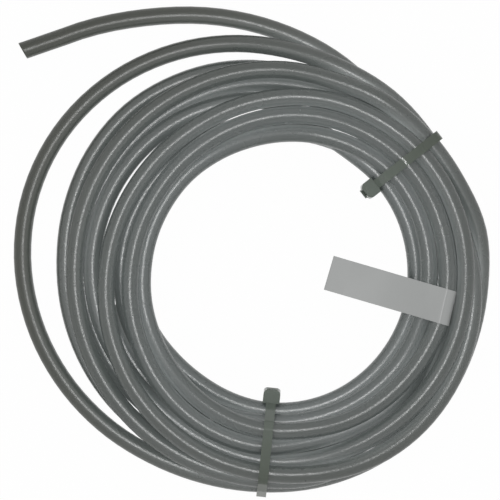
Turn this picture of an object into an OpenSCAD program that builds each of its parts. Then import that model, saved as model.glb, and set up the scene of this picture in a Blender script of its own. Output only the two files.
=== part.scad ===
// Coil of flexible plastic tubing, held by two locked cable ties, with a folded flag label.
// Frame: millimetres, +Z up. The origin is on the coil's axis, on the surface it lies on.

/* [Tube] */
// Outside diameter of the tubing
tube_od = 6.35; // [4.5:0.05:8]
// Diameter of its bore
tube_bore = 4.32; // [2:0.02:4.4]
// Straight length at the free end, for a fitting to grip
end_len = 15.5; // [8:0.5:25]

/* [Coil] */
// Mean radius of the coil
coil_radius = 63; // [58:1:120]
// Gap that stays between turns that lie against each other
winding_gap = 0.25; // [0.25:0.05:0.6]

/* [Cable ties] */
// Width of the strap
strap_w = 3.5; // [2.5:0.1:4.8]
// Thickness of the strap
strap_t = 1.1; // [0.9:0.05:1.3]
// Gap between the strap and the turns it holds
strap_gap = 0.3; // [0.25:0.05:0.4]
// Distance from one tooth to the next
tooth_pitch = 1; // [0.8:0.1:1.5]
// Height of a tooth
tooth_h = 0.45; // [0.3:0.05:0.5]
// Width of the head, across the strap
head_w = 6.1; // [5.8:0.1:8]
// Length of the head, along the strap
head_l = 5.6; // [4.6:0.1:7]
// Height of the head, from the bundle outwards
head_h = 4.8; // [3.8:0.1:6]
// Length of trimmed strap that stands out of the first tie's head
tie_a_stub = 0.8; // [0.1:0.1:6]
// Length of trimmed strap that stands out of the second tie's head
tie_b_stub = 0.1; // [0.1:0.1:6]

/* [Label] */
// Width of the label strip
label_w = 12.7; // [8:0.1:16]
// Thickness of one layer of the strip
label_t = 0.1; // [0.06:0.01:0.12]
// Length of the free flag beyond the turn it lies on
flag_len = 36; // [15:1:45]

/* [Hidden] */
$fn = 48;

tube_r = tube_od / 2;
bore_r = tube_bore / 2;
pitch = tube_od + winding_gap;

// The winding, a turn at a time, from the inner end outwards. A point is an angle round the
// coil, a column and a row: both count in tubes, from the mean radius and from the floor.
TURNS = [
  [[195, -0.5, 0], [225, -0.5, 0], [268, -1, 0.2], [315, -0.85, 0.2]],
  [[0, -1.25, 0.3], [15, -1.45, 0.3], [40, -1.5, 0.3], [60, -1.5, 0.2], [75, -1.55, 0.1],
   [100, -1.9, 0], [135, -1.9, 0], [180, -1.85, 0], [225, -2.35, 0.2], [260, -2.02, 0.7],
   [274, -1.92, 0.75], [287, -1.58, 0.7], [315, -1.55, 0.7]],
  [[0, -1.7, 1.3], [40, -1.65, 1.35], [60, -1.55, 1.2], [90, -1.5, 1], [135, -1.35, 0.9],
   [180, -1.25, 0.9], [225, -1.35, 0.3], [268, -1.45, 1.6], [315, -1.15, 1.3]],
  [[0, -0.85, 2], [40, -0.9, 2.1], [90, -1.75, 1.5], [120, -2.3, 0.9], [150, -2.55, 0.9],
   [180, -2.5, 0.9], [210, -2.1, 1], [240, -1.45, 1.6], [268, -0.85, 2.4], [315, -0.3, 2.1]],
  [[0, 0.1, 2.4], [40, 0, 2.5], [90, -1, 1.9], [120, -1.65, 1.75], [150, -2, 1.75],
   [180, -1.85, 1.75], [210, -1.35, 1.75], [240, -0.55, 1.9], [268, 0.05, 2.1], [281, -0.1, 1.85], [296, 0, 1.4],
   [315, 0.3, 1.3]],
  [[0, -0.4, 1.25], [40, -0.45, 1.3], [75, -0.2, 1.1], [95, 0.15, 1], [135, 0.35, 0.9],
   [180, 0.4, 0.8], [225, -0.1, 1.2], [268, 0.75, 1.25], [281, 0.92, 1.42], [296, 1.05, 1.8], [315, 1.15, 1.95]],
  [[0, 1.05, 2], [40, 0.8, 2.2], [60, 0.55, 2.15], [90, -0.1, 1.9], [120, -0.65, 1.75],
   [150, -0.8, 1.75], [180, -0.55, 1.7], [210, 0.05, 1.9], [240, 0.8, 2.1], [262, 1.35, 2.1],
   [272, 1.4, 2.1], [285, 1.68, 2.15], [300, 1.92, 1.8], [330, 1.85, 1.35]],
  [[0, 1.25, 1.1], [12, 0.95, 1.3], [26, 0.62, 1.25], [40, 0.5, 1.2], [90, 0.75, 1.1], [120, 1, 0.3],
   [135, 0.95, 0], [180, 0.85, 0], [225, 0.6, 0.2], [250, 0.1, 0.25], [268, 0, 0.3], [315, 0.05, 0.1]],
  [[0, -0.35, 0.1], [12, -0.55, 0.1], [40, -0.5, 0.2], [56, 0.15, 0.1], [70, 0.8, 0], [90, 1.75, 0], [135, 2.45, 0],
   [180, 1.75, 0.3], [225, 1.5, 0.1], [252, 1, 0.1], [268, 0.9, 0.2], [315, 0.95, 0.1]],
  [[0, 0.7, 0.1], [12, 0.95, 0.05], [26, 1.35, 0.2], [41, 1.45, 0.42], [56, 1.85, 1.6],
   [72, 2.15, 1.7], [87, 2.7, 0.7],
   [105, 3.45, 0], [120, 3.95, 0], [135, 4.35, 0], [150, 4.55, 0], [165, 4.5, 0], [180, 4.2, 0],
   [195, 3.75, 0], [210, 3.25, 0], [225, 2.75, 0], [240, 2.25, 0], [252, 1.95, 0.1],
   [268, 1.85, 0.2], [315, 1.9, 0.1]],
  [[0, 1.65, 0.1], [12, 1.72, 0.75], [26, 1.62, 1.25], [41, 1.57, 1.35], [56, 1.5, 2.1], [72, 1.5, 1.9],
   [87, 1.5, 1.3],
   [135, 1.5, 0.9], [165, 1.3, 1.2], [180, 1.2, 1.3], [225, 1.5, 1.1], [262, 1.75, 1.15],
   [281, 1.85, 1.08], [296, 1.58, 0.92], [315, 1.2, 0.95]],
  [[0, 0.3, 1], [12, 0.2, 0.53], [26, 0.38, 0.25], [40, 0.55, 0.2], [56, 1.25, 0], [72, 2.5, 0], [90, 3.75, 0],
   [105, 5, 0], [120, 6.25, 0], [131.5, 7.75, 0]]
];
GUIDE = [for (k = [0 : len(TURNS) - 1]) for (p = TURNS[k]) [360 * k + p[0], p[1], p[2]]];

// Rings stand on planes through the coil's axis, one every ring_step degrees.
ring_step = 15;
slices = 360 / ring_step;
first_angle = 191.5;
last_angle = 360 * 11 + 131.5;
ring_count = (last_angle - first_angle) / ring_step + 1;
outer_sides = 10;
bore_sides = 6;
// A ring stands a little outside its circle, so that the chords between rings average it.
chord_fix = 1 / sqrt(cos(ring_step / 2));

// Where the tube leaves the coil, comes back to it and leaves it for good, in whole angles.
loop_from = 360 * 9 + 56.5;
loop_to = 360 * 9 + 251.5;
tail_from = 360 * 11 + 56.5;
// Heading of the straight free end
end_heading = 199;

// Both ties stand upright, a little askew to a plane through the coil's axis. Their heads face
// the eye of the coil.
tie_a_angle = 40;
tie_b_angle = 268;
tie_a_skew = -2;
tie_b_skew = -4;
tie_a_head = 172;
tie_b_head = 168;
// The straps pass under the bundle. They lift it fully off the floor over tie_lift_flat of this
// many degrees, and then less and less.
tie_lift_span = 45;
tie_lift_flat = 0.2;

// The winding settles in this many small moves, the last few of them only pushing apart. Turns
// closer than apart push each other, a little early because they come closest between rings.
apart = 1.015;
settle_moves = 60;
push_only_moves = 15;
push_share = 0.45;
smooth_share = 0.2;
column_hold = 0.2;
row_hold = 0.12;

function ring_angle(i) = first_angle + ring_step * i;
function turn_from(a, b) = abs((a - b + 540) % 360 - 180);
function lift_near(a, tie) = min(1, max(0, 1 + tie_lift_flat - turn_from(a, tie) / tie_lift_span));
function floor_row(a) =
  (strap_t + strap_gap) / pitch * max(lift_near(a, tie_a_angle), lift_near(a, tie_b_angle));

columns = [for (g = GUIDE) [g[0], g[1]]];
rows = [for (g = GUIDE) [g[0], g[2]]];
wanted = [for (i = [0 : ring_count - 1]) [lookup(ring_angle(i), columns), lookup(ring_angle(i), rows)]];

// How far the other turns on the same plane push turn i away
function shove(p, i) =
  let (away = [for (j = [i % slices : slices : len(p) - 1]) p[i] - p[j]],
       share = [for (v = away) let (d = norm(v)) d > 0 && d < apart ? (apart - d) / d : 0])
  share * away;
function straighten(p, i) = i == 0 || i == len(p) - 1 ? [0, 0] : (p[i - 1] + p[i + 1]) / 2 - p[i];
function follow(p, i) =
  smooth_share * straighten(p, i)
  + [column_hold * (wanted[i][0] - p[i][0]), row_hold * (wanted[i][1] - p[i][1])];
function settle_once(p, free) =
  [for (i = [0 : len(p) - 1])
    let (q = p[i] + push_share * shove(p, i) + (free ? follow(p, i) : [0, 0]))
    [q[0], max(q[1], floor_row(ring_angle(i)))]];
function settle(p, moves) =
  moves == 0 ? p : settle(settle_once(p, moves > push_only_moves), moves - 1);
winding = settle(wanted, settle_moves);

// Radius and height of a column and row
function at_mm(p) = [coil_radius + p[0] * pitch, tube_r + p[1] * pitch];
function polar(r, a, z) = [r * cos(a), r * sin(a), z];
function ring_centre(i) =
  let (m = at_mm(winding[i])) polar(m[0] * chord_fix, ring_angle(i), m[1]);

// Where the turns cross an upright plane through the middle of the bundle at angle a, turned by
// skew about that middle: each as [distance from the axis along the plane, height]
function crossing(a, skew) =
  let (middle = polar(coil_radius, a, 0), out = polar(1, a + skew, 0), n = polar(1, a + skew + 90, 0))
  [for (i = [0 : ring_count - 2]) if (turn_from(ring_angle(i), a) < 2 * ring_step)
    let (p = ring_centre(i) - middle, v = ring_centre(i + 1) - ring_centre(i), t = -(p * n) / (v * n))
    if (t >= 0 && t < 1) [coil_radius + (p + t * v) * out, p[2] + t * v[2]]];

// ---- Tube ----
function unit(v) = v / norm(v);
function heading_at(i) =
  i == ring_count - 1 ? polar(1, end_heading, 0)
  : unit(ring_centre(i + 1) - ring_centre(max(i - 1, 0)));
function ring(i, r, sides) =
  let (along = heading_at(i), side = unit(cross(along, [0, 0, 1])), up = cross(side, along))
  [for (s = [0 : sides - 1]) ring_centre(i) + r * (cos(360 * s / sides) * side + sin(360 * s / sides) * up)];
// Faces between ring k and the next, in a list of rings of n points each that starts at point b
function skin(k, n, b, inward) =
  [for (s = [0 : n - 1])
    let (p = b + k * n + s, q = b + k * n + (s + 1) % n)
    each inward ? [[p, q + n, q], [p, p + n, q + n]] : [[p, q, q + n], [p, q + n, p + n]]];

module tube(first, last) {
  count = last - first + 1;
  bore_start = count * outer_sides;
  points = concat(
    [for (i = [first : last]) each ring(i, tube_r, outer_sides)],
    [for (i = [first : last]) each ring(i, bore_r, bore_sides)]);
  walls = [for (k = [0 : count - 2]) each concat(
    skin(k, outer_sides, 0, false), skin(k, bore_sides, bore_start, true))];
  polyhedron(points, concat(walls, end_face(0, bore_start, false),
    end_face((count - 1) * outer_sides, bore_start + (count - 1) * bore_sides, true)));
}
// A ring-shaped end face in triangles: each outer edge meets the nearest point of the bore,
// and each bore edge the nearest point of the outside.
function near_bore(s) = round((s + outer_sides) * bore_sides / outer_sides) % bore_sides;
function end_face(o, b, last_end) =
  let (across = [for (s = [0 : outer_sides - 1]) [o + s, o + (s + 1) % outer_sides, b + near_bore(s + 0.5)]],
       back = [for (s = [0 : outer_sides - 1])
         let (m = near_bore(s - 0.5), n = near_bore(s + 0.5)) if (m != n) [o + s, b + n, b + m]])
  [for (f = concat(across, back)) last_end ? f : [f[2], f[1], f[0]]];

function ring_index(a) = (a - first_angle) / ring_step;
tube_color = [0.43, 0.45, 0.44];

module coil_start() { color(tube_color) tube(0, ring_index(loop_from)); }
module free_loop() { color(tube_color) tube(ring_index(loop_from), ring_index(loop_to)); }
module coil_finish() { color(tube_color) tube(ring_index(loop_to), ring_index(tail_from)); }
module tail() { color(tube_color) tube(ring_index(tail_from), ring_count - 1); }

module tube_end() {
  color(tube_color) translate(ring_centre(ring_count - 1)) rotate([0, 90, end_heading])
    difference() {
      cylinder(r = tube_r, h = end_len);
      translate([0, 0, -1]) cylinder(r = bore_r, h = end_len + 2);
    }
}

// ---- Cable ties ----
// Drawn in the tie's plane: x is the distance from the coil's axis and y the height. A head
// stands where the strap faces the direction h. There, u runs out of the bundle and v along
// the strap. The strap leaves the head, goes round the bundle, comes back from the v side and
// turns out through the window, with its teeth on the side of the pawl.
window_gap = 0.2;
head_wall = 1;
entry_gap = 0.25;
bend_r = strap_t + 0.5;
head_corner_r = 0.9;
head_side_r = 1.4;
entry_chamfer = 0.6;
// The teeth stop before the strap's root, between two plain rails
rail_w = 0.5;
plain_root = 4;
tooth_steep = 0.35;
// The pawl is the wall between the window and the slot behind it
pawl_len = 1.5;
pawl_t = 0.9;
pawl_gap = 0.1;
pawl_lean = 0.4;
strap_facets = 10;
root_reach = 22;

function dir(a) = [cos(a), sin(a)];
function wrap_r() = tube_r + strap_gap;
// Of the centres c, the one that lies farthest in direction a, and a point r beyond it
function farthest(c, a) = let (reach = c * dir(a)) search([max(reach)], reach)[0];
function outermost(c, r, a) = c[farthest(c, a)] + r * dir(a);
// Angle past the head at which the strap, back from its round, meets the turn under the head
function root_angle(c, h) =
  [for (a = [360 - root_reach : 360]) if (farthest(c, h + a) == farthest(c, h)) a][0];
// Angle past the head at which the strap starts its bend into the window
function bend_start() = asin(bend_r / (wrap_r() + bend_r));
function head_origin(c, h) = outermost(c, wrap_r(), h);
function local(c, h, u, v) = head_origin(c, h) + u * dir(h) + v * dir(h + 90);

// The toothed face of the strap from its trimmed tip to its root: [point, normal to the back]
function strap_path(c, h, stub) =
  let (s = bend_start(), turn = wrap_r() + bend_r, u0 = turn * cos(s) - wrap_r(),
       middle = local(c, h, u0, bend_r))
  concat(
    [[local(c, h, head_h + stub, 0), dir(h + 90)]],
    [for (a = [270 : -(90 - s) / 4 : 180 + s - 0.01]) [middle + bend_r * dir(h + a), -dir(h + a)]],
    [for (a = [s + strap_facets / 2 : strap_facets : root_angle(c, h) - 1])
      [outermost(c, wrap_r(), h + a), dir(h + a)]],
    [[outermost(c, wrap_r(), h + root_angle(c, h)), dir(h + root_angle(c, h))]]);

// Running length along a path, and the point at a distance along it, shifted towards the back
function lengths(path) =
  [for (i = 0, s = 0; i < len(path); i = i + 1,
        s = i < len(path) ? s + norm(path[i][0] - path[i - 1][0]) : s) s];
function part_of(path, run, j, k) = [for (i = [0 : len(path) - 1]) [run[i], path[i][j][k]]];

module strap(c, h, stub) {
  path = strap_path(c, h, stub);
  run = lengths(path);
  px = part_of(path, run, 0, 0);
  py = part_of(path, run, 0, 1);
  nx = part_of(path, run, 1, 0);
  ny = part_of(path, run, 1, 1);
  teeth = floor((run[len(run) - 1] - plain_root) / tooth_pitch);
  function shifted(s, d) = [lookup(s, px) + d * lookup(s, nx), lookup(s, py) + d * lookup(s, ny)];
  difference() {
    linear_extrude(strap_w, center = true)
      polygon(concat([for (p = path) p[0]], [for (i = [len(path) - 1 : -1 : 0]) path[i][0] + strap_t * path[i][1]]));
    linear_extrude(strap_w - 2 * rail_w, center = true)
      polygon(concat(
        [for (i = [0 : teeth]) shifted(i * tooth_pitch, -tooth_h)],
        [for (i = [teeth : -1 : 0])
          each [shifted((i + tooth_steep) * tooth_pitch, tooth_h / 9), shifted(i * tooth_pitch, tooth_h)]]));
  }
}

back = head_l - head_wall - window_gap - strap_t;

module head_profile() {
  // u to the right and v up, with the root's side below
  mouth = strap_t + entry_gap;
  polygon([[0, -back], [head_h - head_corner_r, -back], [head_h, head_corner_r - back],
           [head_h, head_l - back - head_corner_r], [head_h - head_corner_r, head_l - back],
           [mouth + entry_chamfer, head_l - back], [mouth, head_l - back - entry_chamfer],
           [mouth, 3 * window_gap], [0, window_gap]]);
}
// u to the right and the strap's width up, with the outer corners rounded
module head_outline() {
  hull() {
    translate([-0.1, -head_w / 2]) square([1, head_w]);
    for (i = [-1, 1]) translate([head_h - head_side_r, i * (head_w / 2 - head_side_r)])
      circle(head_side_r, $fn = 24);
  }
}
module head(c, h) {
  past = head_h + 1;
  translate(head_origin(c, h)) rotate(h)
    difference() {
      intersection() {
        linear_extrude(head_w, center = true) head_profile();
        rotate([90, 0, 0]) linear_extrude(3 * head_l, center = true) head_outline();
      }
      // window, with the pawl's tip just short of the teeth
      linear_extrude(strap_w + 2 * window_gap, center = true)
        polygon([[-1, pawl_gap], [head_h - pawl_len, pawl_gap], [past, -pawl_lean],
                 [past, strap_t + window_gap], [-1, strap_t + window_gap]]);
      // slot behind the pawl, which lets it flex
      linear_extrude(strap_w + 2 * window_gap, center = true)
        polygon([[head_h - pawl_len, -pawl_t], [past, -pawl_t - pawl_lean], [past, head_wall - back],
                 [head_h - pawl_len, head_wall - back]]);
    }
}

// A tie at angle a, turned by skew about the middle of the bundle, with its head at angle h
module tie(a, skew, h, stub) {
  c = crossing(a, skew);
  rotate([0, 0, a]) translate([coil_radius, 0, 0]) rotate([90, 0, skew])
    translate([-coil_radius, 0, 0]) {
      strap(c, h, stub);
      head(c, h);
    }
}
tie_color = [0.5, 0.53, 0.5];
module tie_a() { color(tie_color) tie(tie_a_angle, tie_a_skew, tie_a_head, tie_a_stub); }
module tie_b() { color(tie_color) tie(tie_b_angle, tie_b_skew, tie_b_head, tie_b_stub); }

// ---- Label ----
// A strip folded round one turn, with its two halves stuck together as a flag. The flag runs
// inwards over the next lower turn and ends free over the eye of the coil.
label_turn = 4;
label_angle = 349;
flag_heading = 163.7;
label_gap = 0.03;
// How far the flag stands off the turn it passes over, which lies askew under it
flag_over = 0.3;
// By this distance from the fold the flag has turned square to its own heading
flag_square_at = 4;
// Slope to which the free flag flattens out, and the part of its length that this takes
flag_end_slope = -9;
flag_flat_by = 0.5;
flag_step = 3;
// The flag leaves the wrap just before its crest, and follows the turns in steps of this angle
flag_from = 94;
flag_arc_step = 4;

label_ring = floor((360 * (label_turn - 1) + label_angle - first_angle) / ring_step);
flag_side = polar(1, flag_heading - 90, 0);
function run_of(i) = unit(ring_centre(i + 1) - ring_centre(i));
function label_origin() = (ring_centre(label_ring) + ring_centre(label_ring + 1)) / 2;
function label_axis() = run_of(label_ring);
// Turn k as a circle in the flag's own upright plane, [distance from the fold, height, radius],
// with the slope at which the turn climbs through that plane
function flag_circle(k, off) =
  let (i = label_ring - slices * (label_turn - k), v = run_of(i), m = ring_centre(i) - label_origin(),
       q = m - (m * flag_side) / (v * flag_side) * v)
  [q * polar(1, flag_heading, 0), q[2], tube_r + off, v[2]];
function top_of(c, a) =
  let (reach = [for (q = c) q[0] * cos(a) + q[1] * sin(a) + q[2]], q = c[search([max(reach)], reach)[0]])
  [[q[0], q[1]] + q[2] * dir(a), a];
// Angle at which one straight line lies on both circles
function touching_angle(p, q) =
  let (d = [q[0] - p[0], q[1] - p[1]]) atan2(d[1], d[0]) + acos((p[2] - q[2]) / norm(d));
// The turns under the flag
flag_turns = [flag_circle(label_turn, 2 * label_gap), flag_circle(label_turn - 1, flag_over)];
// Points [distance and height, direction of the upper side] along the underside of the flag
function flag_path() =
  let (last_contact = touching_angle(flag_turns[0], flag_turns[1]) - 1,
       lying = concat([for (a = [flag_from : -flag_arc_step : last_contact + 1]) top_of(flag_turns, a)],
         [top_of(flag_turns, last_contact)]),
       slope = last_contact - 90,
       steps = ceil(flag_len / flag_step),
       run = flag_len / steps)
  concat(lying,
    [for (k = 0, q = lying[len(lying) - 1][0]; k <= steps;
          k = k + 1, q = q + run * dir(flag_slope(k / steps, slope)))
      if (k > 0) [q, 90 + flag_slope(k / steps, slope)]]);
function flag_slope(t, slope) = slope + (flag_end_slope - slope) * min(1, t / flag_flat_by);
// The flag tilts sideways with the turns under it, and comes level at its free end.
function flag_tilt(x) =
  lookup(x, [[0, flag_turns[0][3]], [flag_turns[1][0], flag_turns[1][3]], [flag_len, 0]]);

module wrap() {
  a = label_axis();
  translate(label_origin()) rotate([0, acos(a[2]), atan2(a[1], a[0])])
    difference() {
      cylinder(r = tube_r + label_gap + label_t, h = label_w, center = true);
      cylinder(r = tube_r + label_gap, h = label_w + 1, center = true);
    }
}
module flag() {
  path = flag_path();
  count = len(path);
  points = [for (q = path)
    let (square = min(1, max(0, q[0][0]) / flag_square_at),
         across = unit((1 - square) * label_axis() + square * (flag_side + [0, 0, flag_tilt(q[0][0])])),
         place = label_origin() + polar(q[0][0], flag_heading, q[0][1]),
         up = polar(cos(q[1]), flag_heading, sin(q[1])))
    each [for (e = [[-1, 0], [1, 0], [1, 1], [-1, 1]])
      place + e[0] * label_w / 2 * across + e[1] * 2 * label_t * up]];
  last = 4 * (count - 1);
  polyhedron(points, concat([[3, 2, 1, 0]], [for (k = [0 : count - 2]) each skin(k, 4, 0, false)],
    [[last, last + 1, last + 2, last + 3]]));
}
module label() {
  color([0.65, 0.67, 0.65]) {
    wrap();
    flag();
  }
}

coil_start();
free_loop();
coil_finish();
tail();
tube_end();
tie_a();
tie_b();
label();
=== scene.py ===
# %% [markdown]
# # A coil of flexible tubing
# The object is one long piece of soft, milky plastic tube. It is wound into a flat coil, two
# small cable ties hold the turns together, and a folded label stands off one turn like a flag.
# The imported model is loaded first as a fixed frame: its cable ties stay as they are and only
# get a better material, while the tube and the label are modelled here again, because both
# are smooth and soft where their plain solids have facets.

# %% The frame, and a helper for the box round what is shown
import math

import bpy
import numpy as np
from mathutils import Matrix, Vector


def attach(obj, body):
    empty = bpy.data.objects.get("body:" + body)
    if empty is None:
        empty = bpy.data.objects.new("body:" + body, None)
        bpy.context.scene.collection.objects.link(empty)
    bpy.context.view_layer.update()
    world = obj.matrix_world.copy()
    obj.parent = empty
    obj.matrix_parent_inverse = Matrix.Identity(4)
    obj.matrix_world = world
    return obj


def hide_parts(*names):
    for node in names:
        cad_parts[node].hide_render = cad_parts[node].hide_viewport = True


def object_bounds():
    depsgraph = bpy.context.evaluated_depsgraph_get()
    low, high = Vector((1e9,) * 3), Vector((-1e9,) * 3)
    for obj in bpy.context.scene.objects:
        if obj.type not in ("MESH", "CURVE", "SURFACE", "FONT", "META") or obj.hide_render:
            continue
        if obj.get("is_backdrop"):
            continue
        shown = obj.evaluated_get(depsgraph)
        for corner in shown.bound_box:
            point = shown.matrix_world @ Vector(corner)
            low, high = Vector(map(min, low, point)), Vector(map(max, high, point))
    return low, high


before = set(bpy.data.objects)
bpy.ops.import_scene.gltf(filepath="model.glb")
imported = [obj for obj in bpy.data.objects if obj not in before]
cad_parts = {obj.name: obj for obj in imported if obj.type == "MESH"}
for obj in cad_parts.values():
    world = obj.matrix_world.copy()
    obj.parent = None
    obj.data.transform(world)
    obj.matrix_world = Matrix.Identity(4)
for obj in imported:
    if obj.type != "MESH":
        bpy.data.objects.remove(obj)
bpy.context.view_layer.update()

# %% [markdown]
# ## The camera
# The coil lies flat and is seen straight from above, from far enough away that a turn on top
# of the coil looks hardly larger than one on the floor. So the lens is long. Its focal length
# follows from how wide a strip of the surface the view holds.

# %% The camera
VIEW_WIDTH = 0.1804
VIEW_CENTRE = (-0.0081, 0.0083)
MEAN_HEIGHT = 0.012
CAMERA_DISTANCE = 2.4
SENSOR_WIDTH = 36.0
CLIP = (0.05, 20.0)

camera_data = bpy.data.cameras.new("camera")
camera_data.sensor_width = SENSOR_WIDTH
camera_data.lens = SENSOR_WIDTH * CAMERA_DISTANCE / VIEW_WIDTH
camera_data.clip_start, camera_data.clip_end = CLIP
camera = bpy.data.objects.new("camera", camera_data)
camera.location = (*VIEW_CENTRE, MEAN_HEIGHT + CAMERA_DISTANCE)
bpy.context.scene.collection.objects.link(camera)
bpy.context.scene.camera = camera
print("focal length in mm:", round(camera_data.lens, 1))

# %% [markdown]
# ## The winding
# Turns of a coil are never perfect circles. They cross, climb on each other and slide into the
# grooves between lower turns. Modelling this by eye, point by point, would leave turns that cut
# through each other. Here a short chart says roughly where each turn runs. Every place in the
# chart is an angle round the coil, a column and a row, counted in tube widths. Then the turns
# settle: on every plane through the axis, turns that are closer than one tube push each other
# apart, while each one is pulled a little towards its place in the chart and kept smooth.

# %% The chart of the turns, from the inner end outwards
TURNS = [
    [(195, -0.5, 0), (225, -0.5, 0), (268, -1, 0.2), (315, -0.85, 0.2)],
    [(0, -1.25, 0.3), (15, -1.45, 0.3), (40, -1.5, 0.3), (60, -1.5, 0.2), (75, -1.55, 0.1),
     (100, -1.9, 0), (135, -1.9, 0), (180, -1.85, 0), (225, -2.35, 0.2), (260, -2.02, 0.7),
     (274, -1.92, 0.75), (287, -1.58, 0.7), (315, -1.55, 0.7)],
    [(0, -1.7, 1.3), (40, -1.65, 1.35), (60, -1.55, 1.2), (90, -1.5, 1), (135, -1.35, 0.9),
     (180, -1.25, 0.9), (225, -1.35, 0.3), (268, -1.45, 1.6), (315, -1.15, 1.3)],
    [(0, -0.85, 2), (40, -0.9, 2.1), (90, -1.75, 1.5), (120, -2.3, 0.9), (150, -2.55, 0.9),
     (180, -2.5, 0.9), (210, -2.1, 1), (240, -1.45, 1.6), (268, -0.85, 2.4), (315, -0.3, 2.1)],
    [(0, 0.1, 2.4), (40, 0, 2.5), (90, -1, 1.9), (120, -1.65, 1.75), (150, -2, 1.75),
     (180, -1.85, 1.75), (210, -1.35, 1.75), (240, -0.55, 1.9), (268, 0.05, 2.1),
     (281, -0.1, 1.85), (296, 0, 1.4), (315, 0.3, 1.3)],
    [(0, -0.4, 1.25), (40, -0.45, 1.3), (75, -0.2, 1.1), (95, 0.15, 1), (135, 0.35, 0.9),
     (180, 0.4, 0.8), (225, -0.1, 1.2), (268, 0.75, 1.25), (281, 0.92, 1.42), (296, 1.05, 1.8),
     (315, 1.15, 1.95)],
    [(0, 1.05, 2), (40, 0.8, 2.2), (60, 0.55, 2.15), (90, -0.1, 1.9), (120, -0.65, 1.75),
     (150, -0.8, 1.75), (180, -0.55, 1.7), (210, 0.05, 1.9), (240, 0.8, 2.1), (262, 1.35, 2.1),
     (272, 1.4, 2.1), (285, 1.68, 2.15), (300, 1.92, 1.8), (330, 1.85, 1.35)],
    [(0, 1.25, 1.1), (12, 0.95, 1.3), (26, 0.62, 1.25), (40, 0.5, 1.2), (90, 0.75, 1.1),
     (120, 1, 0.3), (135, 0.95, 0), (180, 0.85, 0), (225, 0.6, 0.2), (250, 0.1, 0.25),
     (268, 0, 0.3), (315, 0.05, 0.1)],
    [(0, -0.35, 0.1), (12, -0.55, 0.1), (40, -0.5, 0.2), (56, 0.15, 0.1), (70, 0.8, 0),
     (90, 1.75, 0), (135, 2.45, 0), (180, 1.75, 0.3), (225, 1.5, 0.1), (252, 1, 0.1),
     (268, 0.9, 0.2), (315, 0.95, 0.1)],
    [(0, 0.7, 0.1), (12, 0.95, 0.05), (26, 1.35, 0.2), (41, 1.45, 0.42), (56, 1.85, 1.6),
     (72, 2.15, 1.7), (87, 2.7, 0.7), (105, 3.45, 0), (120, 3.95, 0), (135, 4.35, 0),
     (150, 4.55, 0), (165, 4.5, 0), (180, 4.2, 0), (195, 3.75, 0), (210, 3.25, 0), (225, 2.75, 0),
     (240, 2.25, 0), (252, 1.95, 0.1), (268, 1.85, 0.2), (315, 1.9, 0.1)],
    [(0, 1.65, 0.1), (12, 1.72, 0.75), (26, 1.62, 1.25), (41, 1.57, 1.35), (56, 1.5, 2.1),
     (72, 1.5, 1.9), (87, 1.5, 1.3), (135, 1.5, 0.9), (165, 1.3, 1.2), (180, 1.2, 1.3),
     (225, 1.5, 1.1), (262, 1.75, 1.15), (281, 1.85, 1.08), (296, 1.58, 0.92), (315, 1.2, 0.95)],
    [(0, 0.3, 1), (12, 0.2, 0.53), (26, 0.38, 0.25), (40, 0.55, 0.2), (56, 1.25, 0), (72, 2.5, 0),
     (90, 3.75, 0), (105, 5, 0), (120, 6.25, 0), (131.5, 7.75, 0)],
]
chart = np.array([
    (360 * turns_before + angle, column, row)
    for turns_before, turn in enumerate(TURNS)
    for angle, column, row in turn
])
print("turns:", len(TURNS), "places in the chart:", len(chart))

# %% The sizes of the tube and the coil, in metres
TUBE_RADIUS = 0.003175
BORE_RADIUS = 0.00216
WINDING_GAP = 0.00025
PITCH = 2 * TUBE_RADIUS + WINDING_GAP
COIL_RADIUS = 0.063
print("one column or row of the chart in mm:", round(PITCH * 1000, 2))

# %% The rings that settle, in degrees, and how far the straps under the coil lift them
# The first angle is a whole number of steps before the last. The lift, counted in straps, is
# cut off at 1, so that the turns are fully lifted for 9 degrees on either side of a tie.
RING_STEP = 15.0
FIRST_ANGLE = 191.5
LAST_ANGLE = float(chart[-1, 0])
INCLUDE_LAST = 0.1
TIE_ANGLES = (40.0, 268.0)
LIFT_AT_TIE = 1.2
TIE_LIFT_SPAN = 45.0
STRAP_THICKNESS = 0.0011
STRAP_CLEAR = 0.0003

ring_angles = np.arange(FIRST_ANGLE, LAST_ANGLE + INCLUDE_LAST, RING_STEP)


def floor_rows(angles):
    """The lowest row at each angle: 0 far from the ties, and the strap's thickness and its play
    higher at a tie. In between, the lift falls in a straight line, measured the shorter way
    round."""
    away = [np.abs((angles - tie + 540) % 360 - 180) for tie in TIE_ANGLES]
    lift = [np.clip(LIFT_AT_TIE - a / TIE_LIFT_SPAN, 0, 1) for a in away]
    return (STRAP_THICKNESS + STRAP_CLEAR) / PITCH * np.max(lift, axis=0)


print("rings:", len(ring_angles), "highest floor row:", round(floor_rows(ring_angles).max(), 2))

# %% The turns settle on and beside each other
APART = 1.015


def settle(wanted, floor, moves=60, push_only=15, push=0.45, smooth=0.2, hold=(0.2, 0.12)):
    """Moves every ring at once: turns on the same plane that are nearer than APART push each
    other away along the line between them, and a ring is also drawn towards the middle of its
    neighbours and towards its wanted place, until the last moves, which only push."""
    slices = int(360 / RING_STEP)
    places = wanted.copy()
    for move in range(moves, 0, -1):
        moved = places.copy()
        for first in range(slices):
            here = places[first::slices]
            apart = here[:, None] - here[None]
            distance = np.hypot(apart[..., 0], apart[..., 1])
            near = (distance > 0) & (distance < APART)
            share = np.where(near, (APART - distance) / np.where(near, distance, 1), 0)
            moved[first::slices] += push * (share[..., None] * apart).sum(axis=1)
        if move > push_only:
            moved[1:-1] += smooth * ((places[:-2] + places[2:]) / 2 - places[1:-1])
            moved += np.array(hold) * (wanted - places)
        moved[:, 1] = np.maximum(moved[:, 1], floor)
        places = moved
    return places


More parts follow.
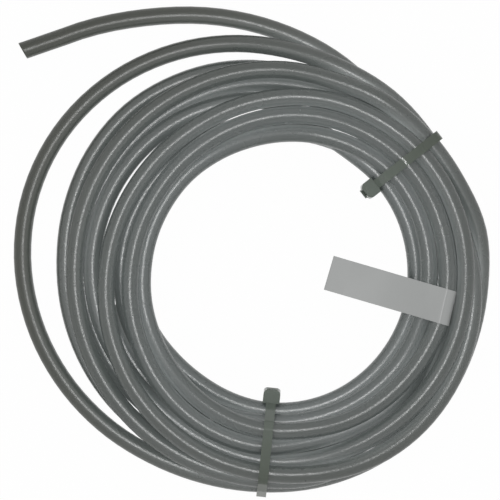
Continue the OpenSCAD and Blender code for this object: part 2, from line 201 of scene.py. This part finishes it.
charted = np.stack([np.interp(ring_angles, chart[:, 0], chart[:, k]) for k in (1, 2)], axis=1)
winding = settle(charted, floor_rows(ring_angles))
print("highest row:", round(float(winding[:, 1].max()), 2))

# %% [markdown]
# ## The tube
# The settled rings are 15 degrees apart, which is too coarse for a smooth tube. A cubic through
# them, worked out for column and row at once, gives a centre every 3 degrees. Then a circle is
# carried along that line. The tube is hollow, so the mesh runs along the outside, turns over a
# small lip at the cut end, comes back through the bore and closes at the other end: one grid
# that wraps both ways. Soft tube is seldom cut quite square, so the last circles lean a little.

# %% The line down the middle of the tube
FINE_STEP = 3.0
END_HEADING = math.radians(199)
END_LENGTH = 0.0155
END_STEP = 0.003


def cubic(values, places):
    """A Catmull-Rom cubic: between two values it leaves and arrives with the slope of the
    straight line that joins each one's own neighbours."""
    before, after = 2 * values[:1] - values[1:2], 2 * values[-1:] - values[-2:-1]
    padded = np.concatenate([before, values, after])
    first = np.clip(np.floor(places).astype(int), 0, len(values) - 2)
    t = (places - first)[:, None]
    a, b, c, d = (padded[first + k] for k in range(4))
    return b + 0.5 * t * (c - a + t * (2 * a - 5 * b + 4 * c - d + t * (3 * (b - c) + d - a)))


def on_coil(turn_angles):
    """The centre of the tube at angles counted on over all turns, as x, y and z."""
    column, row = cubic(winding, (turn_angles - FIRST_ANGLE) / RING_STEP).T
    radius, angle = COIL_RADIUS + column * PITCH, np.radians(turn_angles)
    height = np.maximum(TUBE_RADIUS + row * PITCH, TUBE_RADIUS)
    return np.stack([radius * np.cos(angle), radius * np.sin(angle), height], axis=1)


def distances_along(points):
    """How far each point is from the first one along the line: the running sum of its steps."""
    steps = np.linalg.norm(np.diff(points, axis=0), axis=1)
    return np.concatenate([[0], np.cumsum(steps)])


coiled = on_coil(np.arange(FIRST_ANGLE, LAST_ANGLE + INCLUDE_LAST, FINE_STEP))
heading = np.array([math.cos(END_HEADING), math.sin(END_HEADING), 0])
straight = coiled[-1] + np.arange(END_STEP, END_LENGTH, END_STEP)[:, None] * heading
tube_line = np.concatenate([coiled, straight, coiled[-1:] + END_LENGTH * heading])
run = distances_along(tube_line)
print("length of the tube in metres:", round(float(run[-1]), 3))

# %% Helpers: a grid of faces, and a piece made from one
def wrapped_faces(rings, sides, close_rings):
    """Quads between ring k and ring k + 1 of a grid whose rings close on themselves. With
    close_rings the last ring joins the first as well."""
    ring = np.arange(rings if close_rings else rings - 1)[:, None]
    corner = np.arange(sides)[None]
    a = ring * sides + corner
    b = ring * sides + (corner + 1) % sides
    next_ring = ((ring + 1) % rings - ring) * sides
    return np.stack([a, b, b + next_ring, a + next_ring], axis=-1).reshape(-1, 4)


def volume(points, faces):
    """Signed volume inside closed quads, as the sum of the tetrahedra from the origin to two
    triangles of each quad: positive when the faces point outwards."""
    p = points.reshape(-1, 3)
    a, b, c, d = (p[faces[:, k]] for k in range(4))
    return float(((a * np.cross(b, c)).sum() + (a * np.cross(c, d)).sum()) / 6)


def facing_out(points, faces):
    """The same faces, all turned round if the volume inside them is negative."""
    return faces[:, ::-1] if volume(points, faces) < 0 else faces


def make_piece(name, points, faces):
    """A piece with its place in its mesh, smooth shaded, that rides with the coil."""
    mesh = bpy.data.meshes.new(name)
    mesh.from_pydata(points.reshape(-1, 3).tolist(), [], faces.tolist())
    mesh.shade_smooth()
    piece = bpy.data.objects.new(name, mesh)
    bpy.context.scene.collection.objects.link(piece)
    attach(piece, "root")
    return piece


# %% The tube's surface, with its free end cut a little out of square
SIDES = 20
LIP = 0.00012
CUT_SLANT = math.tan(math.radians(11))
SLANT_OVER = 0.0035
UPRIGHT = np.array([0, 0, 1])


def unit(vectors):
    """Vectors of length one: each vector over its own length."""
    return vectors / np.linalg.norm(vectors, axis=1, keepdims=True)


along = unit(np.gradient(tube_line, axis=0))
side = unit(np.cross(along, UPRIGHT))
up = np.cross(side, along)
round_tube = np.linspace(0, 2 * np.pi, SIDES, endpoint=False)
slant = CUT_SLANT * np.clip(1 - (run[-1] - run) / SLANT_OVER, 0, 1)


def circles(which, radius, shift=0.0):
    """Circles of one radius round the line's points, each square to the line there, apart from
    the last few, which slant more and more towards the cut."""
    sideways, upwards = np.cos(round_tube)[:, None], np.sin(round_tube)[:, None]
    around = sideways * side[which, None] + upwards * up[which, None]
    ahead = shift + radius * sideways * slant[which, None, None]
    return tube_line[which, None] + ahead * along[which, None] + radius * around


every = np.arange(len(tube_line))
rims = (TUBE_RADIUS - LIP, BORE_RADIUS + LIP)
grid = np.concatenate(
    [circles(every, TUBE_RADIUS)]
    + [circles(every[-1:], rim, LIP) for rim in rims]
    + [circles(every[::-1], BORE_RADIUS)]
    + [circles(every[:1], rim, -LIP) for rim in rims[::-1]]
)
tube_faces = facing_out(grid, wrapped_faces(len(grid), SIDES, True))
tube = make_piece("tube", grid, tube_faces)
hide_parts("coil_start", "free_loop", "coil_finish", "tail", "tube_end")
print("faces on the tube:", len(tube_faces))

# %% [markdown]
# Milky plastic lets some light through. A stretch that lies alone looks darker and warmer than
# the same tube among its neighbours, where two turns touch light leaks from one to the other,
# and a flank that faces another turn is lit through its wall, so that a groove is never black.
# Following that light through a dozen walls would be slow and noisy. Here three numbers are
# worked out for every point of the surface: how crowded its place is, how near another turn is,
# and how much of its view other turns cover. The material paints that light: painted colours of
# the first two and a faint painted glow of the third, and where the first is low its shine is a
# little duller.

# %% How crowded, how close and how sheltered points of the surface are
# Each leak is a reach in metres and the share of light that comes through at no distance.
OWN_STRETCH = 0.03
FAR_SQUARE = 1.0
CROWD_REACH = 0.009
LEAKS = ((0.0006, 0.75), (0.006, 0.12))

stretch = np.gradient(run)
print("longest stretch of the line in mm:", round(float(stretch.max()) * 1000, 2))


def light_numbers(points, normals, own_run):
    """How crowded, how close to another turn and how sheltered points of the surface are."""
    # The square of each distance is the sum of both squares less twice the dot product. A
    # stretch close to the point along the tube itself is left out, as if it were far away.
    square = (points**2).sum(axis=1)[:, None] + (tube_line**2).sum(axis=1)
    square -= 2 * points @ tube_line.T
    square[np.abs(own_run[:, None] - run) < OWN_STRETCH] = FAR_SQUARE

    # Crowded: the lengths of all other stretches, each weighed by a bell curve of its distance,
    # over what a straight turn at no distance would give.
    near = np.exp(-square / CROWD_REACH**2) @ stretch / (CROWD_REACH * math.sqrt(math.pi))

    # Touching: the distance to the nearest turn's surface, with the part along that turn taken
    # out. Each leak falls off over its own reach.
    nearest = square.argmin(axis=1)
    away = points - tube_line[nearest]
    past = (away * along[nearest]).sum(axis=1)
    clear = np.clip(np.sqrt((away**2).sum(axis=1) - past**2) - TUBE_RADIUS, 0, None)
    touching = sum(share * np.exp(-clear / reach) for reach, share in LEAKS)

    # Sheltered: a short stretch of another turn covers its width times its length over the
    # square of the distance, and counts by the cosine to the surface's normal. The cosine is
    # the depth along the normal over the distance, which makes it the cube of the distance.
    depth = np.clip(normals @ tube_line.T - (points * normals).sum(axis=1)[:, None], 0, None)
    seen = depth / np.maximum(square, TUBE_RADIUS**2)**1.5
    covered = seen @ stretch * 2 * TUBE_RADIUS / math.pi
    return 1 - np.exp(-near), touching, np.clip(covered, 0, 1)


# %% The three numbers of every point on the outside, stored on the tube
# They are worked out block by block, because all distances at once would fill the memory. The
# points of the lips and the bore come later in the mesh, and keep a 0.
BLOCKS = 12

outside = circles(every, TUBE_RADIUS).reshape(-1, 3)
normals = (outside - tube_line.repeat(SIDES, axis=0)) / TUBE_RADIUS
in_blocks = zip(*(np.array_split(rows, BLOCKS) for rows in (outside, normals, run.repeat(SIDES))))
numbers = np.concatenate([light_numbers(*block) for block in in_blocks], axis=1)

for name, values in zip(("crowded", "touching", "sheltered"), numbers):
    filled = np.zeros(len(grid) * SIDES, np.float32)
    filled[:len(values)] = values
    tube.data.attributes.new(name, "FLOAT", "POINT").data.foreach_set("value", filled)
    print(name, "middle value:", round(float(np.median(values)), 2))

# %% [markdown]
# ## The label
# A label on a hose is a strip of film that is folded round it, so that its two halves stick to
# each other and stand off like a flag. This one is bare. The strip is followed as one path in
# the flag's upright plane: in along the upper half, round the tube, and out again underneath.
# Where it hugs the tube it lies along the tube, and where it is a flag it is square to its own
# heading, so it twists a little in between.

# %% The turns under the flag, and the line on which it lies
LABEL_WIDTH = 0.0127
LABEL_FILM = 0.0001
LABEL_TURN = 4
LABEL_ANGLE = 349.0
FLAG_HEADING = math.radians(163.7)
FLAG_OVER = 0.0003
WRAP_GAP = 0.00004


def on_turn(turn_number, degrees):
    """A place on one turn, and the direction in which the turn runs there: the unit vector to
    the place one degree on."""
    here, ahead = on_coil(360.0 * (turn_number - 1) + degrees + np.array([0, 1.0]))
    return here, (ahead - here) / np.linalg.norm(ahead - here)


label_centre, label_axis = on_turn(LABEL_TURN, LABEL_ANGLE)
flag_out = np.array([math.cos(FLAG_HEADING), math.sin(FLAG_HEADING), 0])
flag_side = np.array([math.sin(FLAG_HEADING), -math.cos(FLAG_HEADING), 0])


def flag_circle(turn_number, clearance):
    """Where a turn goes through the flag's upright plane: distance from the fold, height over
    it, radius with the clearance, and the slope at which the turn climbs through the plane."""
    place, run_of_turn = on_turn(turn_number, LABEL_ANGLE)
    away = place - label_centre
    away -= (away @ flag_side) / (run_of_turn @ flag_side) * run_of_turn
    return away @ flag_out, away[2], TUBE_RADIUS + clearance, run_of_turn[2]


under = np.array([
    flag_circle(LABEL_TURN, WRAP_GAP + LABEL_FILM),
    flag_circle(LABEL_TURN - 1, FLAG_OVER),
])
print("turns under the flag, in mm:", np.round(under[:, :3] * 1000, 2).tolist())

# %% One line of the flag: over the two turns, then a free end that eases to a gentler slope
FLAG_LENGTH = 0.036
FLAG_END_SLOPE = math.radians(-9)
FLAG_FLAT_BY = 0.5
PATH_STEP = 0.00025
ROLL_STEP = math.radians(1)
LEAVES_FIRST = 1e-4
LEAVES_SECOND = 0.02


def flag_line(height):
    """The flag at one height over what it lies on. For each direction from upright down to the
    common tangent it takes the outermost point of the two circles. The last two directions, one
    on each side of the tangent, are where it leaves the first circle and the second. From there
    its slope changes evenly, until FLAG_FLAT_BY of the free length, to the slope of its end."""
    (x0, y0, r0, _), (x1, y1, r1, _) = under
    between = math.hypot(x1 - x0, y1 - y0)
    tangent = math.atan2(y1 - y0, x1 - x0) + math.acos((r0 - r1) / between)
    rolling = np.arange(math.pi / 2, tangent, -ROLL_STEP)
    angles = np.append(rolling, [tangent + LEAVES_FIRST, tangent - LEAVES_SECOND])
    on_second = angles < tangent
    radius = np.where(on_second, r1, r0) + height
    lying = np.stack([
        np.where(on_second, x1, x0) + radius * np.cos(angles),
        np.where(on_second, y1, y0) + radius * np.sin(angles),
    ], axis=1)
    part = np.arange(0, FLAG_LENGTH, PATH_STEP) / FLAG_LENGTH
    first_slope = angles[-1] - math.pi / 2
    slopes = first_slope + (FLAG_END_SLOPE - first_slope) * np.minimum(1, part / FLAG_FLAT_BY)
    steps = np.stack([np.cos(slopes), np.sin(slopes)], axis=1)
    return np.concatenate([lying, lying[-1] + PATH_STEP * np.cumsum(steps, axis=0)])


# The two halves lie on each other, so their middles are half a film and one and a half up.
upper = flag_line(1.5 * LABEL_FILM)
lower = flag_line(0.5 * LABEL_FILM)
print("reach of the flag from the tube's centre in mm:", round(upper[-1, 0] * 1000, 1))

# %% The strip's path: in along the upper half, round the tube, out along the lower half
# The strip leaves the tube at WRAP_END, rises to a crease beside it, and lies against the upper
# half from LOWER_FROM on. From SQUARE_AT on it is square to the flag's own heading.
WRAP_STEP = math.radians(3)
WRAP_END = math.radians(345)
CREASE = (0.0038, 0.0014)
LOWER_FROM = 0.0048
SQUARE_AT = 0.004
SOFTEN = 2


def with_flagness(points, on_flag):
    """Adds a third column: 0 where the strip hugs the tube, up to 1 where it is a flag."""
    flagness = np.clip(points[:, :1] / SQUARE_AT, 0, 1) if on_flag else np.zeros((len(points), 1))
    return np.concatenate([points, flagness], axis=1)


def evenly(points, step):
    """The same line with its points a step apart."""
    far = distances_along(points[:, :2])
    at = np.linspace(0, far[-1], int(far[-1] / step) + 1)
    return np.stack([np.interp(at, far, column) for column in points.T], axis=1)


def softened(points, rounds):
    """Each inner point moves halfway to the middle of its neighbours, a few times over."""
    for _ in range(rounds):
        inner = (points[:-2] + 2 * points[1:-1] + points[2:]) / 4
        points = np.concatenate([points[:1], inner, points[-1:]])
    return points


wrap_angles = np.arange(math.pi / 2, WRAP_END, WRAP_STEP)
wrap_radius = TUBE_RADIUS + WRAP_GAP + LABEL_FILM / 2
wrapped = wrap_radius * np.stack([np.cos(wrap_angles), np.sin(wrap_angles)], axis=1)
strip = np.concatenate([
    with_flagness(upper[::-1], True),
    with_flagness(wrapped, False),
    with_flagness(np.concatenate([[CREASE], lower[lower[:, 0] > LOWER_FROM]]), True),
])
strip = softened(evenly(strip, PATH_STEP), SOFTEN)

# %% The directions along, out of and across the strip
# The points across it are counted from its middle, -1 and 1 are its long edges, and they lie
# closer there. The edges droop by CROWN.
ACROSS = np.concatenate([[-1, -0.985], np.linspace(-0.9, 0.9, 9), [0.985, 1]])
CROWN = 0.00012

path, flagness = strip[:, :2], strip[:, 2:]
direction = unit(np.gradient(path, axis=0))
outward = np.stack([direction[:, 1], -direction[:, 0]], axis=1)
tilt = np.interp(path[:, 0], [0, under[1, 0], FLAG_LENGTH], [under[0, 3], under[1, 3], 0])
flat_across = flag_side + tilt[:, None] * UPRIGHT
across = unit((1 - flagness) * label_axis + flagness * flat_across)
print("steepest tilt of the flag in degrees:", round(math.degrees(np.abs(tilt).max()), 1))


def in_space(flat_points):
    """From the flag's upright plane to the object's frame."""
    return flat_points[:, :1] * flag_out + flat_points[:, 1:] * UPRIGHT


# %% The label's surface: an upper and a lower skin, and a cap at each end of the strip
droop = CROWN * flagness[:, :, None] * (ACROSS**2)[None, :, None] * -UPRIGHT
sideways = LABEL_WIDTH / 2 * ACROSS[None, :, None] * across[:, None]
film_middle = (label_centre + in_space(path))[:, None] + sideways + droop
half_film = LABEL_FILM / 2 * in_space(outward)[:, None]
label_grid = np.concatenate([film_middle + half_film, (film_middle - half_film)[:, ::-1]], axis=1)

around = 2 * len(ACROSS)
k = np.arange(len(ACROSS) - 1)
end_cap = np.stack([k, k + 1, around - 2 - k, around - 1 - k], axis=1)
label_faces = facing_out(label_grid, np.concatenate([
    wrapped_faces(len(strip), around, False),
    end_cap[:, ::-1],
    end_cap + (len(strip) - 1) * around,
]))
label = make_piece("flag_label", label_grid, label_faces)
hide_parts("label")
print("label volume in cubic mm:", round(volume(label_grid, label_faces) * 1e9, 1))

# %% [markdown]
# ## Finishes
# Soft clear plastic is not clear when it is old or thick: it looks like frosted glass with smoke
# in it. Light goes in, scatters and comes out again close by, which subsurface scattering
# gives, and a little transmission lets the pale surface below shine through. The surface is
# drawn through a die, so it is glossy but finely uneven, and the shine on a crest breaks up
# into beads. That grain is small and round, so it is a noise in the piece's own space. All
# three plastics have such a grain, and tubing and ties both get painted shade further out, so
# both effects are node groups that the materials share, each with its own values.

# %% A node group for the fine unevenness of drawn and moulded plastic
BROAD_SHARE = 0.06
FINE_DETAIL = 1
BROAD_DETAIL = 3


def new_group(name, inputs, outputs):
    """An empty node group with named sockets, each given with its kind. Returns the group, what
    it is given and what it has to make."""
    group = bpy.data.node_groups.new(name, "ShaderNodeTree")
    for way, sockets in (("INPUT", inputs), ("OUTPUT", outputs)):
        for socket, kind in sockets.items():
            group.interface.new_socket(socket, in_out=way, socket_type="NodeSocket" + kind)
    given, made = group.nodes.new("NodeGroupInput"), group.nodes.new("NodeGroupOutput")
    return group, given.outputs, made.inputs


def uneven_group():
    """Noise on the piece's own coordinates: a fine one as a height for bump, and one with
    BROAD_SHARE as many grains to the metre as a mask for colour and roughness."""
    group, given, made = new_group(
        "uneven surface",
        {"Place": "Vector", "Grains per metre": "Float"},
        {"Height": "Float", "Mask": "Float"},
    )
    nodes, links = group.nodes, group.links
    fewer = nodes.new("ShaderNodeMath")
    fewer.operation = "MULTIPLY"
    fewer.inputs[1].default_value = BROAD_SHARE
    links.new(given["Grains per metre"], fewer.inputs[0])
    for scale, detail, output in (
        (given["Grains per metre"], FINE_DETAIL, "Height"),
        (fewer.outputs[0], BROAD_DETAIL, "Mask"),
    ):
        noise = nodes.new("ShaderNodeTexNoise")
        noise.inputs["Detail"].default_value = detail
        links.new(given["Place"], noise.inputs["Vector"])
        links.new(scale, noise.inputs["Scale"])
        links.new(noise.outputs[0], made[output])
    return group


UNEVEN = uneven_group()
print("nodes in the uneven surface:", len(UNEVEN.nodes))

# %% A node group that paints shade on what lies further out
PAINTED_SHADE_RADII = (0.048, 0.088)


def mixed(tree, factor, first, second, blend="MIX"):
    """The output of a Mix node: first where the factor is 0, and second, or first blended with
    it, where the factor is 1. Each of them is a colour or another node's output."""
    mix = tree.nodes.new("ShaderNodeMix")
    mix.data_type, mix.blend_type = "RGBA", blend
    tree.links.new(factor, mix.inputs["Factor"])
    for socket, value in (("A", first), ("B", second)):
        if isinstance(value, tuple):
            mix.inputs[socket].default_value = (*value, 1)
        else:
            tree.links.new(value, mix.inputs[socket])
    return mix.outputs["Result"]


def painted_shade_outwards_group():
    """Multiplies a colour by a tint that comes in between two distances from the coil's axis:
    painted shade on the outer turns, where less light comes to them from neighbours."""
    group, given, made = new_group(
        "painted shade outwards",
        {"Place": "Vector", "Colour": "Color", "Tint": "Color"},
        {"Colour": "Color"},
    )
    flat, distance, part = (
        group.nodes.new("ShaderNode" + kind) for kind in ("VectorMath", "VectorMath", "MapRange"))
    flat.operation, distance.operation = "MULTIPLY", "LENGTH"
    flat.inputs[1].default_value = (1, 1, 0)
    part.inputs["From Min"].default_value, part.inputs["From Max"].default_value = PAINTED_SHADE_RADII
    group.links.new(given["Place"], flat.inputs[0])
    group.links.new(flat.outputs["Vector"], distance.inputs[0])
    group.links.new(distance.outputs["Value"], part.inputs["Value"])
    tinted = mixed(group, part.outputs["Result"], given["Colour"], given["Tint"], "MULTIPLY")
    group.links.new(tinted, made["Colour"])
    return group


PAINTED_SHADE_OUTWARDS = painted_shade_outwards_group()
print("nodes in the outward tint:", len(PAINTED_SHADE_OUTWARDS.nodes))

# %% A plastic with that unevenness in its colour, its shine and its relief
def wiring(material):
    """A material's nodes, its links and its shader."""
    tree = material.node_tree
    return tree.nodes, tree.links, tree.nodes["Principled BSDF"]


def set_sockets(material, values):
    """Sets what is the same all over the surface on the shader's own sockets."""
    _, _, shader = wiring(material)
    for socket, value in values.items():
        shader.inputs[socket].default_value = value


def finish_of(name, grains, bump, colours, rough):
    """A Principled material with the shared unevenness in its colour, roughness and bump.
    colours and rough are each a pair between which the broad mask moves."""
    material = bpy.data.materials.new(name)
    material.use_nodes = True
    nodes, links, shader = wiring(material)
    coordinates, uneven, rougher, relief = (
        nodes.new("ShaderNode" + kind) for kind in ("TexCoord", "Group", "MapRange", "Bump"))
    uneven.node_tree = UNEVEN
    uneven.inputs["Grains per metre"].default_value = grains
    rougher.inputs["To Min"].default_value, rougher.inputs["To Max"].default_value = rough
    relief.inputs["Distance"].default_value = bump
    links.new(coordinates.outputs["Object"], uneven.inputs["Place"])
    links.new(uneven.outputs["Mask"], rougher.inputs["Value"])
    links.new(uneven.outputs["Height"], relief.inputs["Height"])
    tint = mixed(material.node_tree, uneven.outputs["Mask"], *colours)
    links.new(tint, shader.inputs["Base Color"])
    links.new(rougher.outputs["Result"], shader.inputs["Roughness"])
    links.new(relief.outputs["Normal"], shader.inputs["Normal"])
    return material


# %% Colours that come in over a piece: painted light and painted shade
def stored(material, name):
    """The output of a node that reads one of the numbers stored on the tube's surface."""
    number = material.node_tree.nodes.new("ShaderNodeAttribute")
    number.attribute_name = name
    return number.outputs["Fac"]


def shift_colour(material, name, colour):
    """Mixes what feeds Base Color with one more colour, by a stored number."""
    _, links, shader = wiring(material)
    base = shader.inputs["Base Color"]
    factor = stored(material, name)
    links.new(mixed(material.node_tree, factor, base.links[0].from_socket, colour), base)


def paint_shade_outwards(material, tint):
    """Puts the outward painted shade in front of Base Color, with a colour of its own."""
    nodes, links, shader = wiring(material)
    base = shader.inputs["Base Color"]
    place, outwards = nodes.new("ShaderNodeTexCoord"), nodes.new("ShaderNodeGroup")
    outwards.node_tree = PAINTED_SHADE_OUTWARDS
    outwards.inputs["Tint"].default_value = (*tint, 1)
    links.new(place.outputs["Object"], outwards.inputs["Place"])
    links.new(base.links[0].from_socket, outwards.inputs["Colour"])
    links.new(outwards.outputs["Colour"], base)


# %% A shine, and a painted glow, that change over a piece
BLACK = (0, 0, 0)


def rougher_alone(material, amount):
    """Adds to the roughness where no other turn is close. Light that has gone round inside a
    lone stretch of tube blurs its shine."""
    nodes, links, shader = wiring(material)
    rough = shader.inputs["Roughness"]
    extra, total = nodes.new("ShaderNodeMapRange"), nodes.new("ShaderNodeMath")
    extra.inputs["To Min"].default_value, extra.inputs["To Max"].default_value = amount, 0
    total.operation = "ADD"
    links.new(stored(material, "crowded"), extra.inputs["Value"])
    links.new(rough.links[0].from_socket, total.inputs[0])
    links.new(extra.outputs["Result"], total.inputs[1])
    links.new(total.outputs["Value"], rough)


def paint_glow_where(material, name, colour):
    """Painted light: the surface glows by the number stored on it, for light that comes through
    the walls of other turns. It is too faint for rays to be aimed at it."""
    _, links, shader = wiring(material)
    glow = mixed(material.node_tree, stored(material, name), BLACK, colour)
    links.new(glow, shader.inputs["Emission Color"])
    set_sockets(material, {"Emission Strength": 1.0})
    material.cycles.emission_sampling = "NONE"


# %% The tubing
# Painted light and shade: the tube is darker and warmer where it lies alone, lighter among turns
# and where turns touch, darker further out, and a painted glow lights its grooves.
ALONE = ((0.04, 0.046, 0.031), (0.05, 0.056, 0.04))
PAINTED_LIGHT_AMONG_TURNS = (0.062, 0.08, 0.081)
PAINTED_SHADE_OUTER_TURNS = (0.5, 0.52, 0.41)
LEAKED_LIGHT = (0.85, 0.88, 0.88)
PAINTED_GROOVE_GLOW = (0.029, 0.032, 0.031)
EVEN_SCATTER = (1.0, 1.0, 1.0)

tubing = finish_of("milky tubing", grains=2600, bump=0.00006, colours=ALONE, rough=(0.22, 0.28))
shift_colour(tubing, "crowded", PAINTED_LIGHT_AMONG_TURNS)
paint_shade_outwards(tubing, PAINTED_SHADE_OUTER_TURNS)
shift_colour(tubing, "touching", LEAKED_LIGHT)
rougher_alone(tubing, amount=0.08)
paint_glow_where(tubing, "sheltered", PAINTED_GROOVE_GLOW)
set_sockets(tubing, {
    "Transmission Weight": 0.1,
    "IOR": 1.5,
    "Specular IOR Level": 0.8,
    "Subsurface Weight": 0.3,
    "Subsurface Radius": EVEN_SCATTER,
    "Subsurface Scale": 0.002,
})
tube.data.materials.append(tubing)
print("nodes in the tubing's material:", len(tubing.node_tree.nodes))

# %% [markdown]
# The cable ties are moulded in natural nylon, which is whiter and smoother than the tubing and
# lets light only half as far in. The label is a duller film, too thin to scatter light. Both
# could be one flat colour, but a faint drift of colour and shine is what tells a moulding and a
# film from paint, so both share the tubing's grain, only broader and shallower.

# %% The nylon of the ties and the label's film
NYLON = ((0.13, 0.153, 0.132), (0.16, 0.185, 0.16))
PAINTED_SHADE_OUTER_NYLON = (0.48, 0.48, 0.42)
FILM = ((0.35, 0.36, 0.355), (0.38, 0.39, 0.385))

nylon = finish_of("natural nylon", grains=900, bump=0.00003, colours=NYLON, rough=(0.08, 0.16))
# Painted shade: the ties get darker further out from the coil's axis.
paint_shade_outwards(nylon, PAINTED_SHADE_OUTER_NYLON)
set_sockets(nylon, {
    "Specular IOR Level": 0.25,
    "Subsurface Weight": 0.25,
    "Subsurface Radius": EVEN_SCATTER,
    "Subsurface Scale": 0.001,
})
for name in ("tie_a", "tie_b"):
    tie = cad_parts[name]
    tie.data.materials.clear()
    tie.data.materials.append(nylon)

film = finish_of("label film", grains=700, bump=0.00001, colours=FILM, rough=(0.3, 0.4))
label.data.materials.append(film)
print("materials:", [material.name for material in (tubing, nylon, film)])

# %% [markdown]
# ## Floor and light
# The floor and the world are white to the camera, to reflections and to what shows through the
# plastic, and the floor still takes a soft shadow. A small lamp close to the camera draws the
# bright line along each crest, a large weak one stands for a window, and the world fills the
# rest.

# %% The floor
FLOOR_SIZE = 3.0
FLOOR_DROP = 0.0002
FLOOR_GREY = (0.8, 0.8, 0.8, 1)
FLOOR_ROUGH = 0.9
FLOOR_GLOW = 0.98

floor_mesh = bpy.data.meshes.new("floor")
square_corners = ((-1, -1), (1, -1), (1, 1), (-1, 1))
corners = [(FLOOR_SIZE / 2 * x, FLOOR_SIZE / 2 * y, -FLOOR_DROP) for x, y in square_corners]
floor_mesh.from_pydata(corners, [], [(0, 1, 2, 3)])
floor_object = bpy.data.objects.new("floor", floor_mesh)
bpy.context.scene.collection.objects.link(floor_object)
floor_object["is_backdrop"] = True
print("floor in metres:", FLOOR_SIZE, "x", FLOOR_SIZE)

# %% The floor's material: nearly white where it is looked at, grey to the light
def seen_directly(nodes, links):
    """1 for camera, glossy and transmission rays, and 0 for the light that falls on things."""
    light_path = nodes.new("ShaderNodeLightPath")
    total = light_path.outputs["Is Camera Ray"]
    for kind in ("Is Glossy Ray", "Is Transmission Ray"):
        either = nodes.new("ShaderNodeMath")
        either.operation = "MAXIMUM"
        links.new(total, either.inputs[0])
        links.new(light_path.outputs[kind], either.inputs[1])
        total = either.outputs[0]
    return total


paper = bpy.data.materials.new("white floor")
paper.use_nodes = True
set_sockets(paper, {"Base Color": FLOOR_GREY, "Roughness": FLOOR_ROUGH})
nodes, links, shader = wiring(paper)
white, blend = nodes.new("ShaderNodeEmission"), nodes.new("ShaderNodeMixShader")
glow_share = nodes.new("ShaderNodeMath")
glow_share.operation = "MULTIPLY"
glow_share.inputs[1].default_value = FLOOR_GLOW
links.new(seen_directly(nodes, links), glow_share.inputs[0])
links.new(glow_share.outputs[0], blend.inputs["Fac"])
links.new(shader.outputs[0], blend.inputs[1])
links.new(white.outputs[0], blend.inputs[2])
links.new(blend.outputs[0], nodes["Material Output"].inputs["Surface"])
floor_mesh.materials.append(paper)
print("share of plain white in the floor:", FLOOR_GLOW)

# %% The world and the lamps
WORLD_FILL = 0.58

world = bpy.data.worlds.new("studio")
bpy.context.scene.world = world
world.use_nodes = True
nodes, links = world.node_tree.nodes, world.node_tree.links
background, strength = nodes["Background"], nodes.new("ShaderNodeMapRange")
background.inputs["Color"].default_value = (1, 1, 1, 1)
strength.inputs["To Min"].default_value = WORLD_FILL
strength.inputs["To Max"].default_value = 1.0
links.new(seen_directly(nodes, links), strength.inputs["Value"])
links.new(strength.outputs["Result"], background.inputs["Strength"])


def lamp(name, place, size, power):
    """A square area lamp that looks at the coil's middle."""
    data = bpy.data.lights.new(name, "AREA")
    data.size, data.energy = size, power
    shown = bpy.data.objects.new(name, data)
    shown.location = place
    shown.rotation_euler = (-Vector(place)).to_track_quat("-Z", "Y").to_euler()
    bpy.context.scene.collection.objects.link(shown)


lamp("flash", place=(-0.03, 0.03, 1.3), size=0.12, power=3.7)
lamp("window", place=(-0.7, 0.1, 1.3), size=0.8, power=0.6)
bpy.context.scene.view_settings.view_transform = "Standard"
print("lamps:", [light.name for light in bpy.data.lights], "world's fill:", WORLD_FILL)

# %% [markdown]
# ## The dressed model's box
# The box round everything that is shown in the dressed model is worked out and printed.

# %% The dressed model's box
dressed_box = np.round([list(corner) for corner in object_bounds()], 4)
print("dressed model's box in metres:", dressed_box.tolist())
